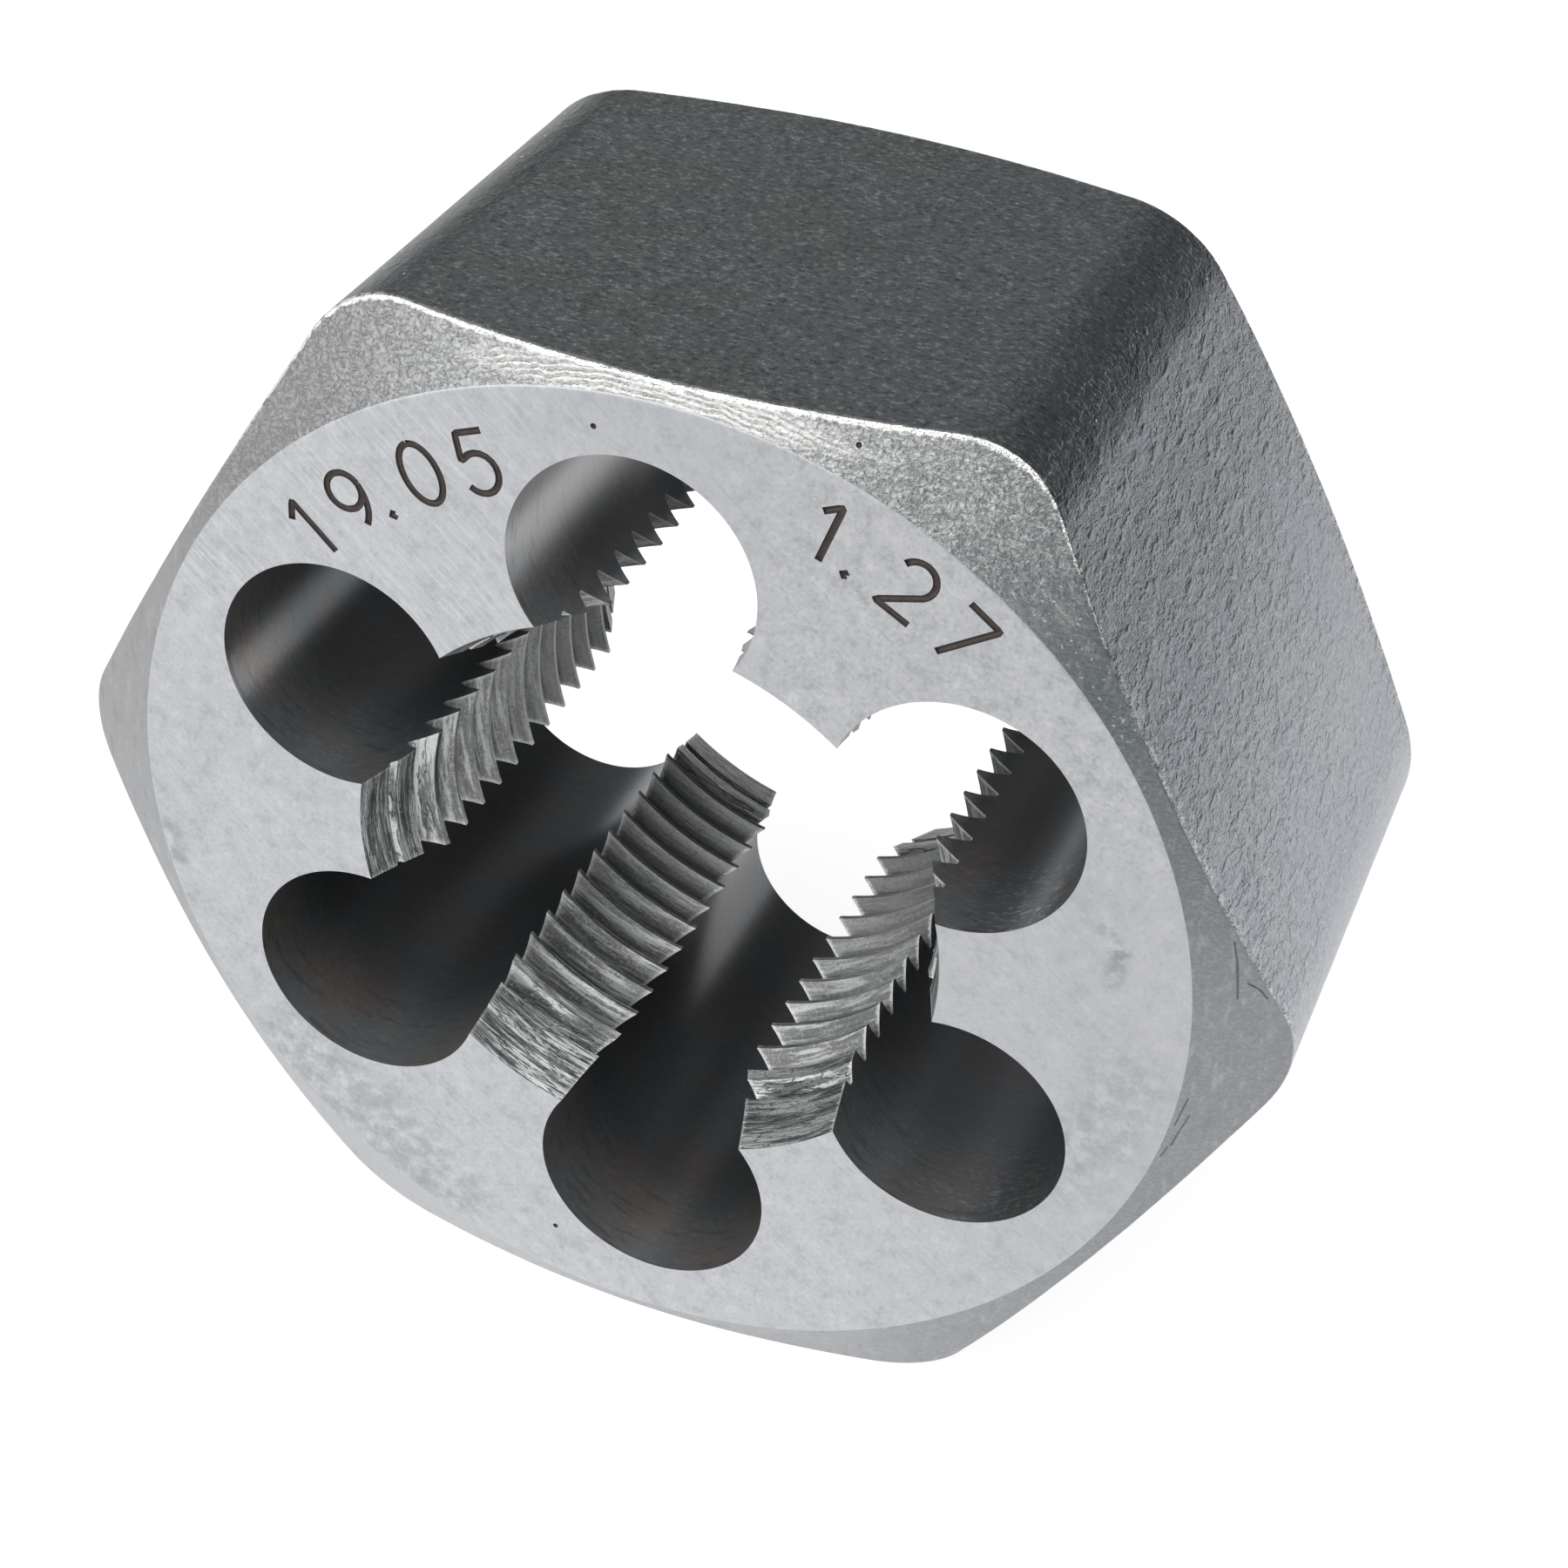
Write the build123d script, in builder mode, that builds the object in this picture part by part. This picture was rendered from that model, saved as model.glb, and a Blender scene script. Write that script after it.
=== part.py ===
from build123d import *
from math import ceil, cos, radians, tan
import os

# Hexagonal rethreading die, one solid piece of tool steel.
# Frame: the thread's axis lies along Y, the marked front face looks towards -Y,
# one flat of the hexagon is underneath and +Z is up. The origin is on the axis,
# midway between the two faces. Lengths are in millimetres, angles in degrees.

# The hexagon bar and its turned faces
across_flats = 36.5
thickness = 19.05
hex_corner_radius = 3.6
face_inset = 0.65          # from a flat in to the circle where the face begins
face_chamfer_angle = 27.0  # between the turned chamfer and the face
face_chamfer_crown = 0.02  # how far the chamfer bulges between its two edges

# The thread that the die recuts
thread_diameter = 19.05
thread_pitch = 1.27
thread_angle = 60.0
thread_start = 0.89        # depth of a thread root where it crosses the lowest chip hole
thread_overlap = 0.05      # how far the cutter reaches into the open bore

# The lead-in cones that let a damaged thread enter from either face
lead_in_growth = 0.65      # how much wider than the thread the mouth is
lead_in_turns = 2.5

# The chip holes, which leave one cutting land between each pair
chip_hole_count = 6
chip_hole_diameter = 8.0
chip_hole_setback = 2.2    # from the thread's outside out to the holes' centres
chip_hole_turn = 3.2       # turned this far from the middles of the flats

# Sizes that follow from those
front = -thickness / 2
back = thickness / 2
face_radius = across_flats / 2 - face_inset
corner_reach = across_flats / 2 / cos(radians(30))  # to the hexagon's sharp corner
chamfer_run = corner_reach - face_radius
chamfer_fall = chamfer_run * tan(radians(face_chamfer_angle))

half_angle = radians(thread_angle / 2)
thread_flat = thread_pitch / 8
thread_depth = (thread_pitch / 2 - thread_flat) / tan(half_angle)
root_radius = thread_diameter / 2
crest_radius = root_radius - thread_depth
groove_reach = thread_depth + thread_overlap
groove_half_width = thread_flat / 2 + groove_reach * tan(half_angle)

mouth_radius = (thread_diameter + lead_in_growth) / 2
lead_in_length = lead_in_turns * thread_pitch
chip_hole_circle_radius = root_radius + chip_hole_setback

# One turn of the thread groove: a truncated 60 degree V swept along the helix.
# It starts below the axis and climbs anticlockwise towards the front face, which
# makes a right-hand thread.
with BuildPart() as thread_turn:
    with BuildLine() as lead:
        Helix(thread_pitch, thread_pitch, root_radius, direction=(0, -1, 0))
    groove_plane = Plane(origin=lead.line @ 0, x_dir=(0, 0, -1), z_dir=lead.line % 0)
    with BuildSketch(groove_plane):
        with BuildLine():
            Polyline(
                (0, -thread_flat / 2),
                (0, thread_flat / 2),
                (-groove_reach, groove_half_width),
                (-groove_reach, -groove_half_width),
                close=True,
            )
        make_face()
    sweep(path=lead.line, is_frenet=True)

with BuildPart() as hex_die:
    # The blank is a length of hexagon bar with its corners rounded.
    with BuildSketch(Plane.XZ):
        RegularPolygon(across_flats / 2, 6, major_radius=False)
    extrude(amount=thickness / 2, both=True)
    fillet(hex_die.edges().filter_by(Axis.Y), hex_corner_radius)

    # Both faces are turned: a shallow, faintly crowned chamfer takes the
    # hexagon's corners back and leaves a curved edge on each flat.
    front_edge = (face_radius, front)
    front_corner = (corner_reach, front + chamfer_fall)
    back_corner = (corner_reach, back - chamfer_fall)
    back_edge = (face_radius, back)
    with BuildSketch(Plane.XY):
        with BuildLine():
            Polyline(back_edge, (0, back), (0, front), front_edge)
            SagittaArc(front_edge, front_corner, -face_chamfer_crown)
            Line(front_corner, back_corner)
            SagittaArc(back_corner, back_edge, -face_chamfer_crown)
        make_face()
    revolve(axis=Axis.Y, mode=Mode.INTERSECT)

    # The bore is cut to the thread's crests, with a lead-in cone at each end.
    with BuildSketch(Plane.XY):
        with BuildLine():
            Polyline(
                (0, front),
                (mouth_radius, front),
                (crest_radius, front + lead_in_length),
                (crest_radius, back - lead_in_length),
                (mouth_radius, back),
                (0, back),
                close=True,
            )
        make_face()
    revolve(axis=Axis.Y, mode=Mode.SUBTRACT)

    # The thread groove is one turn repeated along the bore. Its seams fall in
    # the lowest chip hole, where the next cut takes them away.
    turn_numbers = range(-1, ceil(thickness / thread_pitch) + 2)
    turn_places = [(0, front + thread_start + n * thread_pitch, 0) for n in turn_numbers]
    with Locations(*turn_places):
        add(thread_turn.part, rotation=(0, -chip_hole_turn, 0), mode=Mode.SUBTRACT)

    # The chip holes run right through and break into the bore.
    with BuildSketch(Plane.XZ):
        with PolarLocations(chip_hole_circle_radius, chip_hole_count, 90 + chip_hole_turn):
            Circle(chip_hole_diameter / 2)
    extrude(amount=thickness / 2, both=True, mode=Mode.SUBTRACT)

hex_die.part.label = "hex_die"
os.makedirs("parts", exist_ok=True)
export_step(hex_die.part, "parts/hex_die.step")
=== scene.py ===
import math

import bpy
from mathutils import Matrix, Vector


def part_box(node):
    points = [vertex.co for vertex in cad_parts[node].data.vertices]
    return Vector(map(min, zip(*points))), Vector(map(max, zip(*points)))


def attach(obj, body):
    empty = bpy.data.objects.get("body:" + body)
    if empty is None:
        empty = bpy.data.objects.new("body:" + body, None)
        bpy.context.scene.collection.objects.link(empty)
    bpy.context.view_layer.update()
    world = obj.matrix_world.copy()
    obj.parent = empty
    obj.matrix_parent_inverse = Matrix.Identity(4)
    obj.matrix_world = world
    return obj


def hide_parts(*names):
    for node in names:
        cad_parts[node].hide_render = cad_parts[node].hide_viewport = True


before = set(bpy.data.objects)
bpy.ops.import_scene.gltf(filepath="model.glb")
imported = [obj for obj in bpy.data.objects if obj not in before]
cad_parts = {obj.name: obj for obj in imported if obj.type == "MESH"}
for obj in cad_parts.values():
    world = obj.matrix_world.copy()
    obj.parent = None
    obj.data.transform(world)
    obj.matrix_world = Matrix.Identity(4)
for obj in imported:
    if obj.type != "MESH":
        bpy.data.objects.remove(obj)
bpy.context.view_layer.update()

# The blank is a slice of drawn hexagon bar with round corners, stood on one flat.
# Each end is turned to a flat face with a shallow chamfer round it. Everything up
# to the finished die is drawn in millimetres, with +Z towards the marked face.
mm = 0.001
lowest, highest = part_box("hex_die")
across_flats = (highest.z - lowest.z) / mm
thickness = (highest.y - lowest.y) / mm
across_corners = (highest.x - lowest.x) / mm
half_sector = math.radians(30)  # from a corner of the hexagon to the middle of a flat
sharp_corner = across_flats / 2 / math.cos(half_sector)
corner_radius = (sharp_corner - across_corners / 2) / (1 / math.cos(half_sector) - 1)
face_inset = 0.65
face_radius = across_flats / 2 - face_inset
chamfer_angle = math.radians(27)


class Value:
    """A socket that can be worked with: an operator on it adds a Math node."""

    def __init__(self, nodes, socket):
        self.nodes = nodes
        self.socket = socket

    def math(self, operation, *others):
        sockets = dict(zip(("Value", "Value_001", "Value_002"), (self, *others)))
        return self.nodes.add("ShaderNodeMath", {"operation": operation}, sockets)

    def out(self, name):
        """Another output of the same node."""
        outputs = self.socket.node.outputs
        return Value(self.nodes, next(s for s in outputs if s.identifier == name))

    def xyz(self):
        parts = self.nodes.add("ShaderNodeSeparateXYZ", {}, {"Vector": self})
        return parts, parts.out("Y"), parts.out("Z")

    def operator(operation, reflected=False):
        def apply(self, other):
            first, second = (other, self) if reflected else (self, other)
            sockets = {"Value": first, "Value_001": second}
            return self.nodes.add("ShaderNodeMath", {"operation": operation}, sockets)

        return apply

    __add__ = __radd__ = operator("ADD")
    __sub__ = operator("SUBTRACT")
    __rsub__ = operator("SUBTRACT", reflected=True)
    __mul__ = __rmul__ = operator("MULTIPLY")
    __truediv__ = operator("DIVIDE")
    __rtruediv__ = operator("DIVIDE", reflected=True)
    __lt__ = operator("LESS_THAN")
    __gt__ = operator("GREATER_THAN")


class Nodes:
    """One node tree, of a shape or of a finish, that nodes are added to."""

    def __init__(self, tree):
        self.tree = tree
        self.sizes = {}

    def add(self, kind, settings={}, sockets={}):
        node = self.tree.nodes.new(kind)
        for name, setting in settings.items():
            setattr(node, name, setting)
        for name, values in sockets.items():
            socket = next(s for s in node.inputs if s.identifier == name)
            for value in values if isinstance(values, list) else [values]:
                if isinstance(value, Value):
                    self.tree.links.new(value.socket, socket)
                else:
                    socket.default_value = value
        shown = [s for s in node.outputs if s.enabled]
        return Value(self, shown[0]) if shown else node

    def size(self, name, value):
        """A named input of the tree, which the modifier sets."""
        kind = "NodeSocketInt" if isinstance(value, int) else "NodeSocketFloat"
        item = self.tree.interface.new_socket(name, in_out="INPUT", socket_type=kind)
        self.sizes[item.identifier] = value
        outputs = self.tree.nodes.new("NodeGroupInput").outputs
        return Value(self, next(s for s in outputs if s.identifier == item.identifier))

    def between(self, value, start, end, low=0.0, high=1.0, smooth=True):
        """The share of the way that value has gone from start to end, kept within both."""
        sockets = {
            "Value": value,
            "From Min": start,
            "From Max": end,
            "To Min": low,
            "To Max": high,
        }
        settings = {"interpolation_type": "SMOOTHSTEP" if smooth else "LINEAR"}
        return self.add("ShaderNodeMapRange", settings, sockets)

    def noise(self, place, scale, detail=2.0, roughness=0.5):
        sockets = {"Vector": place, "Scale": scale, "Detail": detail, "Roughness": roughness}
        return self.add("ShaderNodeTexNoise", {}, sockets)

    def mix(self, share, first, second):
        sockets = {"Factor_Float": share, "A_Color": first, "B_Color": second}
        return self.add("ShaderNodeMix", {"data_type": "RGBA"}, sockets)


shape = Nodes(bpy.data.node_groups.new("hex_die_shape", "GeometryNodeTree"))
for name, in_out in (("Stroke lines", "INPUT"), ("Die", "OUTPUT")):
    shape.tree.interface.new_socket(name, in_out=in_out, socket_type="NodeSocketGeometry")

flats = shape.size("Across flats", across_flats)
length = shape.size("Thickness", thickness)
round_corner = shape.size("Corner radius", corner_radius)
face = shape.size("Face radius", face_radius)
slope = shape.size("Chamfer angle", chamfer_angle)
edge_round = shape.size("Edge rounding", 0.11)
face_round = shape.size("Face rounding", 0.3)
bar_relief = shape.size("Relief of the drawn flats", 0.035)
points_around = shape.size("Points around", 480)

# Rows of points from the middle of a flat to the end face
flat_rows = 24
edge_rows = 5
chamfer_rows = 9
face_round_rows = 4
margin_rows = 1
half_rows = flat_rows + edge_rows + chamfer_rows + face_round_rows + margin_rows

drum = shape.add(
    "GeometryNodeMeshCylinder",
    {"fill_type": "NGON"},
    {"Vertices": points_around, "Side Segments": 2 * half_rows, "Radius": 1.0, "Depth": 2.0},
)
drum_x, drum_y, drum_z = shape.add("GeometryNodeInputPosition").xyz()
row = drum_z.math("ABSOLUTE") * half_rows
which_end = drum_z.math("SIGN")

# How far the bar's outline reaches in each direction
from_corner = drum_y.math("ARCTAN2", drum_x).math("PINGPONG", half_sector)
corner_centre = (flats / 2 - round_corner) / math.cos(half_sector)
flat_reach = flats / 2 / (half_sector - from_corner).math("COSINE")
off_line = corner_centre * from_corner.math("SINE")
half_chord = (round_corner * round_corner - off_line * off_line).math("SQRT")
corner_reach = corner_centre * from_corner.math("COSINE") + half_chord
tangent_height = round_corner * math.sin(half_sector)
tangent_angle = tangent_height.math("ARCTAN2", corner_centre + round_corner * math.cos(half_sector))
in_corner = from_corner < tangent_angle
reach = flat_reach + in_corner * (corner_reach - flat_reach)

# The rows close up towards the edges, so that only the edges shade as round.
along_flat = 1 - shape.between(row, 0, flat_rows, smooth=False)
along_flat = 1 - along_flat * along_flat
rows_used = flat_rows
along_edge = shape.between(row, rows_used, rows_used + edge_rows, smooth=False)
rows_used += edge_rows
along_chamfer = shape.between(row, rows_used, rows_used + chamfer_rows)
rows_used += chamfer_rows
along_rim = shape.between(row, rows_used, rows_used + face_round_rows, smooth=False)
rows_used += face_round_rows
along_margin = shape.between(row, rows_used, rows_used + margin_rows, smooth=False)
margin = 0.1

cos_slope = slope.math("COSINE")
sin_slope = slope.math("SINE")
wear = shape.noise(shape.add("GeometryNodeInputPosition"), 9.0)
half_edge_turn = math.radians(45) - slope / 2
edge_tangent = edge_round * half_edge_turn.math("TANGENT") * (wear + 0.5)
rim_tangent = face_round * (slope / 2).math("TANGENT")
half_length = length / 2
edge_height = half_length - (reach - face) * slope.math("TANGENT")


def rounded(share, to_corner, to_end):
    """Where a rounded corner has got to, on its way past the sharp corner to its end."""
    return share * (1 - share) * 2 * to_corner + share * share * to_end


chamfer_run = face + rim_tangent * cos_slope - (reach - edge_tangent * cos_slope)
chamfer_rise = half_length - rim_tangent * sin_slope - (edge_height + edge_tangent * sin_slope)
out_from_axis = (
    reach
    - rounded(along_edge, 0, edge_tangent * cos_slope)
    + along_chamfer * chamfer_run
    - rounded(along_rim, rim_tangent * cos_slope, rim_tangent * (cos_slope + 1))
    - along_margin * margin
)
flat_rise = edge_height - edge_tangent
up_from_middle = (
    along_flat * flat_rise
    + rounded(along_edge, edge_tangent, edge_tangent * (sin_slope + 1))
    + along_chamfer * chamfer_rise
    + rounded(along_rim, rim_tangent * sin_slope, rim_tangent * sin_slope)
)
outline_place = shape.add(
    "ShaderNodeCombineXYZ",
    {},
    {"X": drum_x * out_from_axis, "Y": drum_y * out_from_axis, "Z": up_from_middle * which_end},
)


def hypotenuse(across, up):
    return (across * across + up * up).math("SQRT")


def keep(geometry, name, value):
    """Stores a value on the mesh, for the finishes to read."""
    sockets = {"Geometry": geometry, "Name": name, "Value": value}
    settings = {"data_type": "FLOAT", "domain": "POINT"}
    return shape.add("GeometryNodeStoreNamedAttribute", settings, sockets)


finish_names = []


def finished(geometry, name, selection=True):
    """Marks what a tool cuts, or a turned face, with the finish that it leaves."""
    if name not in finish_names:
        finish_names.append(name)
    number = finish_names.index(name)
    sockets = {"Geometry": geometry, "Name": "finish", "Value": number, "Selection": selection}
    settings = {"data_type": "INT", "domain": "FACE"}
    return shape.add("GeometryNodeStoreNamedAttribute", settings, sockets)


blank = finished(drum, "drawn_flat")
blank = finished(blank, "turned_chamfer", row > flat_rows + edge_rows / 2)
blank = finished(blank, "ground_face", row > flat_rows + edge_rows + chamfer_rows)
chamfer_length = hypotenuse(chamfer_run, chamfer_rise)
from_edge = (1 - along_flat) * flat_rise + along_chamfer * chamfer_length
blank = keep(blank, "from_edge", from_edge)
blank = keep(blank, "on_bar", row < flat_rows + edge_rows + 0.5)
blank = shape.add("GeometryNodeSetPosition", {}, {"Geometry": blank, "Position": outline_place})

# Drawing leaves the flats faintly uneven, always inside their true size.
bar_place = shape.add("GeometryNodeInputPosition")
bar_x, bar_y, _ = bar_place.xyz()
outward = shape.add("ShaderNodeCombineXYZ", {}, {"X": bar_x, "Y": bar_y})
outward = shape.add("ShaderNodeVectorMath", {"operation": "NORMALIZE"}, {"Vector": outward})
on_bar = shape.add("GeometryNodeInputNamedAttribute", {"data_type": "FLOAT"}, {"Name": "on_bar"})
broad = shape.noise(bar_place, 0.45)
close = shape.noise(bar_place, 1.9)
relief = (broad * 0.6 + close * 0.4) * bar_relief * on_bar * -1
relief = shape.add(
    "ShaderNodeVectorMath", {"operation": "SCALE"}, {"Vector": outward, "Scale": relief}
)
blank = shape.add("GeometryNodeSetPosition", {}, {"Geometry": blank, "Offset": relief})

# The flats keep the skin of the drawn bar: graphite grey, finely crinkled along the
# bar, with hardening scale on top, and frayed light beside the chamfer on the right.
# Painted shade darkens them higher up, darkest on the rounded corners beside the top.
# Where a chamfer meets a flat, a bright line is painted along the edge: partly wear
# from burnishing, mostly painted highlight.
# The colour of the painted highlight along the edges
edge_highlight_colour = (0.88, 0.88, 0.86, 1)


def new_finish(name):
    material = bpy.data.materials.new(name)
    material.use_nodes = True
    material.node_tree.nodes.clear()
    return Nodes(material.node_tree)


def pattern(nodes, stretch=(1, 1, 1), turn=(0, 0, 0)):
    """Places on the die in millimetres, turned and then stretched for a grain."""
    place = nodes.add("ShaderNodeTexCoord").out("Object")
    scale = tuple(mm * s for s in stretch)
    sockets = {"Vector": place, "Rotation": turn, "Scale": scale}
    return nodes.add("ShaderNodeMapping", {"vector_type": "TEXTURE"}, sockets)


def steel(nodes, colour, relief, depth, roughness, metallic=1.0):
    """Ends a finish in steel, with a bump that is depth millimetres deep."""
    bump = nodes.add("ShaderNodeBump", {}, {"Distance": depth * mm, "Height": relief})
    shader = nodes.add(
        "ShaderNodeBsdfPrincipled",
        {},
        {"Base Color": colour, "Metallic": metallic, "Roughness": roughness, "Normal": bump},
    )
    nodes.add("ShaderNodeOutputMaterial", {}, {"Surface": shader})


def painted_edge_line(nodes, place, distance, width):
    """A bright line painted beside an edge, partly wear from burnishing and mostly painted
    highlight: broad on top, fading down the sides.
    """
    ragged = nodes.noise(place, 3.5, 3.0, 0.6)
    height = place.xyz()[2]
    line_width = nodes.between(height, 16.5, 18.0, low=width * 0.45, high=width)
    line = nodes.between((distance + (ragged - 0.3) * 0.32) / line_width, 1.7, 0.9)
    return line * nodes.between(height + ragged * 14, 16.0, 22.0)


drawn_flat = new_finish("drawn_flat")
on_die = pattern(drawn_flat)
die_x, die_y, die_z = on_die.xyz()
grain = drawn_flat.noise(pattern(drawn_flat, stretch=(1.35, 0.85, 1)), 6.5, 3.0, 0.65)
folds = drawn_flat.noise(pattern(drawn_flat, stretch=(1, 2.2, 1)), 2.5, 3.0, 0.55)
crinkles = drawn_flat.between((folds - 0.5).math("ABSOLUTE"), 0.05, 0.0)
patches = drawn_flat.between(drawn_flat.noise(on_die, 0.28, 3.0), 0.42, 0.58)
uneven = drawn_flat.between(drawn_flat.noise(on_die, 0.25, 2.0), 0.35, 0.6, low=0.6)
folded = uneven * drawn_flat.between(die_z - die_y * 0.5, 2.0, 14.0, low=0.35)
on_top = drawn_flat.between(die_z + grain * 0.2, 15.9, 17.0)
folded = folded * drawn_flat.between(die_z, 16.0, 17.4, low=1.0, high=0.3)

# Bare grey low down, painted shade darker higher up, and the skin of hardening scale on top
bare = drawn_flat.mix(patches, (0.41, 0.427, 0.463, 1), (0.425, 0.435, 0.459, 1))
darker_high_up = drawn_flat.mix(patches, (0.236, 0.252, 0.277, 1), (0.247, 0.254, 0.266, 1))
# Darker higher up: painted shade
skin = drawn_flat.mix(drawn_flat.between(die_z - die_y * 0.2, 2.0, 15.5), bare, darker_high_up)
bluish = (patches + drawn_flat.between(die_x, 0.0, 7.0)) / 2
hardened_and_corner_shade = drawn_flat.mix(bluish, (0.35, 0.387, 0.383, 1), (0.373, 0.413, 0.44, 1))
mottled = drawn_flat.between(drawn_flat.noise(on_die, 1.2, 3.0, 0.6), 0.56, 0.44)
hardened_and_corner_shade = drawn_flat.mix(mottled * 0.15, hardened_and_corner_shade, (0.22, 0.245, 0.245, 1))
# Painted shade: two dark bands on the rounded corners beside the top
for start, end, share, colour in (
    (17.9, 16.8, 0.8, (0.085, 0.102, 0.116, 1)),
    (17.2, 16.3, 0.75, (0.03, 0.037, 0.042, 1)),
):
    top_corner_shade = drawn_flat.between(die_z, start, end) * share
    hardened_and_corner_shade = drawn_flat.mix(top_corner_shade, hardened_and_corner_shade, colour)
skin = drawn_flat.mix(on_top, skin, hardened_and_corner_shade)

# Light and dark grains, fewer light grains in the painted corner shade, and dark lines along the
# folds
light_grain = drawn_flat.between(grain, 0.54, 0.68) * (on_top * 0.5 + 0.2)
light_grain = light_grain * (1 - drawn_flat.between(die_z, 17.6, 16.8) * on_top * 0.8)
skin = drawn_flat.mix(light_grain, skin, (0.90, 0.95, 0.95, 1))
dark_grain = drawn_flat.between(grain, 0.48, 0.32) * (on_top * 0.5 + 0.3)
skin = drawn_flat.mix(dark_grain, skin, (0.13, 0.15, 0.16, 1))
skin = drawn_flat.mix(crinkles * folded * 0.2, skin, (0.2, 0.21, 0.22, 1))

# Painted shade on the left rounded corner, and the bright marks beside the chamfer
flat_corner_shade = drawn_flat.between(die_x, -8.3, -9.4) * drawn_flat.between(die_z, 15.9, 17.0)
skin = drawn_flat.mix(flat_corner_shade * 0.7, skin, (0.05, 0.057, 0.062, 1))
specks = drawn_flat.between(drawn_flat.noise(on_die, 5.0, 0.0), 0.83, 0.85) * on_top
from_edge = drawn_flat.add("ShaderNodeAttribute", {"attribute_name": "from_edge"}).out("Fac")
# Painted highlight along the edge, joined with the light specks on top
edge_highlight = painted_edge_line(drawn_flat, on_die, from_edge, width=0.07).math("MAXIMUM", specks)
frayed = drawn_flat.between(drawn_flat.noise(on_die, 3.2, 3.0, 0.6), 0.44, 0.6)
frayed = frayed * drawn_flat.between(from_edge + grain * 0.8, 1.1, 0.35)
frayed = frayed * drawn_flat.between(die_z, 13.5, 10.5) * drawn_flat.between(die_x, 8.0, 12.0)
skin = drawn_flat.mix(frayed * 0.6, skin, (0.78, 0.79, 0.80, 1))
skin = drawn_flat.mix(edge_highlight, skin, edge_highlight_colour)
surface = (folds - crinkles * 0.1) * folded + grain * 0.1 + frayed * 0.25
steel(drawn_flat, skin, surface, depth=0.2, roughness=0.37 - edge_highlight * 0.1)

# The chamfers are turned and then blasted: crinkled near the top, with wavy turning
# rings left where the chamfer is narrow and painted bright there as a highlight, and
# smoother lower down.
ring_pitch = 0.16


def scratch(nodes, place, start, end, width):
    """A straight scratch seen from in front, from one point to another, in millimetres."""
    across, _, up = place.xyz()
    run, rise = end[0] - start[0], end[1] - start[1]
    across, up = across - start[0], up - start[1]
    along = (across * run + up * rise) / (run * run + rise * rise)
    along = nodes.between(along, 0.0, 1.0, smooth=False)
    off_line = hypotenuse(across - along * run, up - along * rise)
    return nodes.between(off_line, width, width * 0.3)


turned_chamfer = new_finish("turned_chamfer")
on_die = pattern(turned_chamfer)
die_x, die_y, die_z = on_die.xyz()
from_axis = hypotenuse(die_x, die_z)
from_edge = turned_chamfer.add("ShaderNodeAttribute", {"attribute_name": "from_edge"}).out("Fac")
to_right = turned_chamfer.between(die_x, 2.0, 10.0)
near_top = turned_chamfer.between(die_z - to_right * 4.6, 8.0, 12.0, low=0.2)
crinkled = near_top * turned_chamfer.between(die_x, -16.0, 2.0, low=0.45)
grain = turned_chamfer.noise(on_die, 9.0, 2.0)
crepe = turned_chamfer.noise(pattern(turned_chamfer, (1.45, 1, 0.85)), 4.8, 2.0)
furrows = turned_chamfer.between((crepe - 0.5).math("ABSOLUTE"), 0.06, 0.0)
drift = turned_chamfer.noise(on_die, 1.1, 3.0, 0.6)

# Turning rings, drawn only high up where the chamfer is narrow, which is where the highlight falls
rings = ((from_axis + drift * 0.35) * (math.tau / ring_pitch)).math("SINE")
rings_in_highlight = turned_chamfer.between(from_axis + drift * 0.8, 19.2, 18.5)
rings_in_highlight = rings_in_highlight * turned_chamfer.between(from_edge + drift * 0.6, 1.5, 1.0)
rings_in_highlight = rings_in_highlight * turned_chamfer.between(die_z, 13.0, 15.5)
ring_depth = turned_chamfer.between(rings + grain * 2, 0.4, 2.0) * rings_in_highlight

# Blasted steel, a little darker high up, with painted shade on the right
right_shade_noise = turned_chamfer.noise(on_die, 0.3, 3.0)
# Painted shade: darker towards the right, most of all higher up, with a ragged edge
right_shade = turned_chamfer.between(right_shade_noise * 9 + die_x, 9.0, 19.0)
right_shade = right_shade * turned_chamfer.between(die_z, 1.0, 8.0, low=0.55)
high_up = turned_chamfer.between(die_z, -12.0, 4.0)
blasted = turned_chamfer.mix(high_up, (0.39, 0.395, 0.407, 1), (0.348, 0.35, 0.356, 1))
right_shade_colour = turned_chamfer.mix(
    turned_chamfer.between(die_z, 12.0, 7.0), (0.165, 0.185, 0.192, 1), (0.193, 0.204, 0.219, 1)
)
blasted = turned_chamfer.mix(right_shade, blasted, right_shade_colour)
# Painted glints: bright specks only at the upper right of the chamfer
painted_glints = turned_chamfer.between(turned_chamfer.noise(on_die, 6.0, 1.0), 0.64, 0.72)
painted_glints = painted_glints * to_right * turned_chamfer.between(die_z, 8.0, 12.0)
blasted = turned_chamfer.mix(painted_glints * 0.55, blasted, (0.72, 0.76, 0.76, 1))
# Painted shade on the chamfer at the upper left
chamfer_corner_shade = turned_chamfer.between(die_z, 6.0, 13.0)
chamfer_corner_shade = chamfer_corner_shade * turned_chamfer.between(die_x, -5.0, -10.0)
blasted = turned_chamfer.mix(chamfer_corner_shade * 0.6, blasted, (0.21, 0.21, 0.212, 1))
# Paler low on the left
paler_low_left = turned_chamfer.between(die_z, -5.0, -12.0) * turned_chamfer.between(die_x, 3.0, -7.0)
blasted = turned_chamfer.mix(paler_low_left, blasted, (0.48, 0.485, 0.50, 1))
# Painted highlight: the rings high up are painted pale
blasted = turned_chamfer.mix(rings_in_highlight, blasted, (0.66, 0.665, 0.65, 1))

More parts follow.
